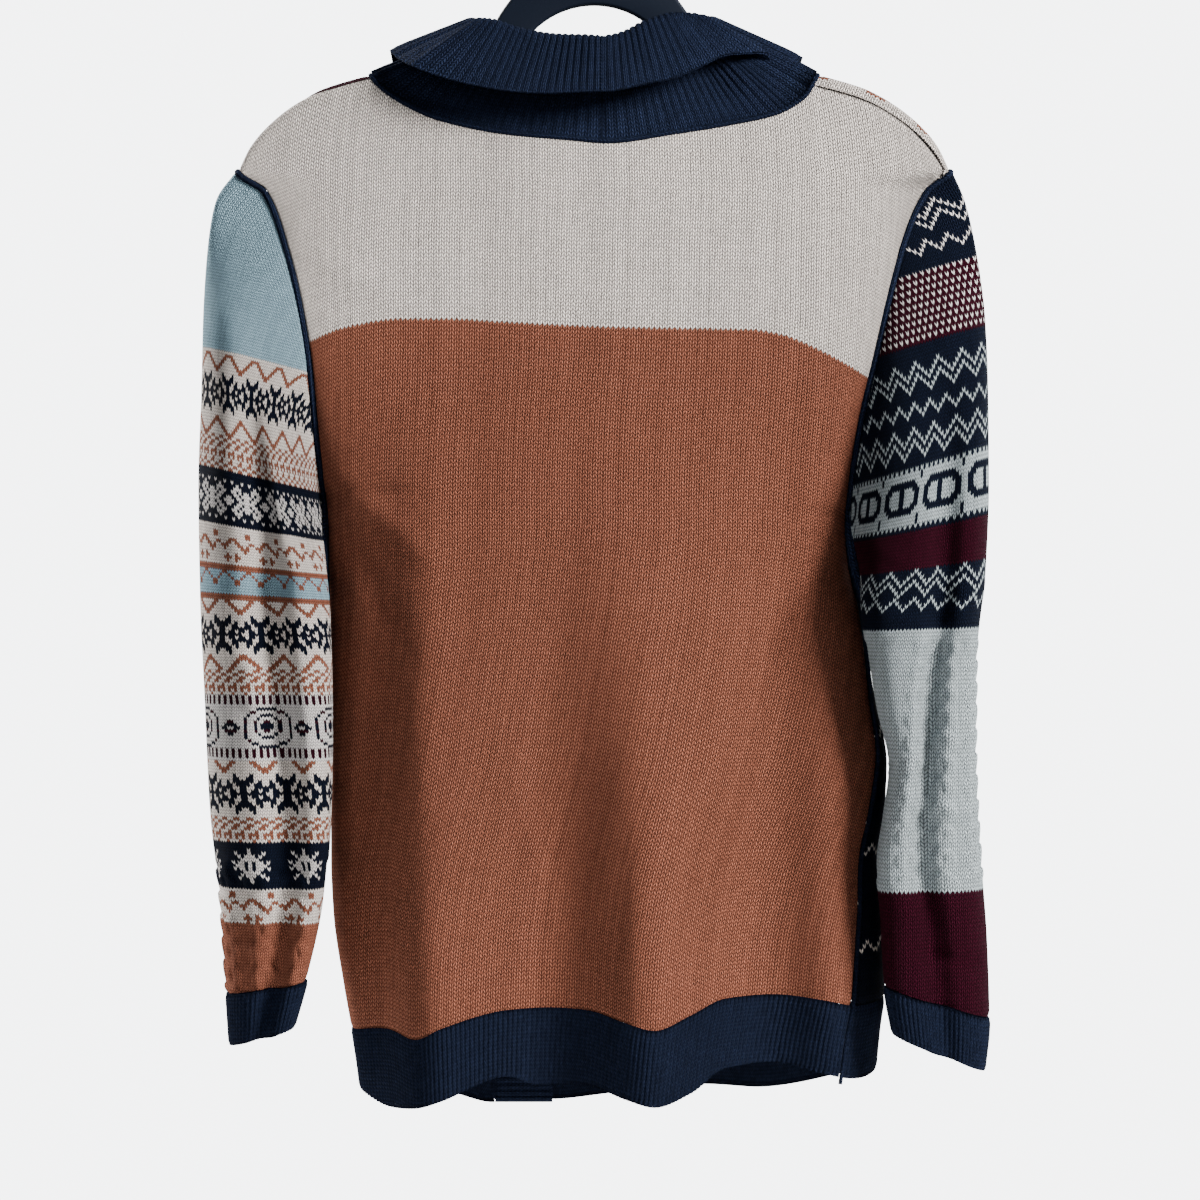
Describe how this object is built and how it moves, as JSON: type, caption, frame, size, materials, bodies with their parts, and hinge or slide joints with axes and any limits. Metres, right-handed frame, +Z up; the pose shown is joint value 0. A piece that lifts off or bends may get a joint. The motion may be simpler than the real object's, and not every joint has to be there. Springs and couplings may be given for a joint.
{
  "type": "shawl collar cardigan on a hanger",
  "caption": "Knitted cardigan with a ribbed shawl collar, patchwork blocks and banded long sleeves, hanging on a flat clothes hanger with a wire hook.",
  "frame": {"origin": "inside top of the hanger's hook, where it rests on the rail", "axes": "+Z up, the garment's front faces -Y, the wearer's left is +X"},
  "size_m": [0.5138, 0.1311, 0.8236],
  "materials": {
    "rust_knit": "plain stocking stitch, cream yoke above rust, matte wool blend",
    "burgundy_knit": "plain stocking stitch in blocks, matte wool blend",
    "navy_knit": "plain stocking stitch in blocks with fine contrast lines, matte wool blend",
    "banded_knit": "stranded banded knitting above cable knit, matte wool blend",
    "navy_rib": "ribbed knitting, matte wool blend",
    "button": "satin",
    "hanger": "matte, close short pile",
    "hook": "polished"
  },
  "bodies": {
    "root": {"back": "rust_knit", "front_left": "burgundy_knit", "front_right": "navy_knit", "sleeve_left": "banded_knit", "sleeve_right": "banded_knit", "cuff_left": "navy_rib", "cuff_right": "navy_rib", "hem_back": "navy_rib", "hem_left": "navy_rib", "hem_right": "navy_rib", "collar_left": "navy_rib", "collar_right": "navy_rib", "hanger": "hanger", "hook": "hook", "button_1": "button", "button_2": "button", "button_3": "button", "button_4": "button", "button_5": "button"}
  },
  "joints": []
}
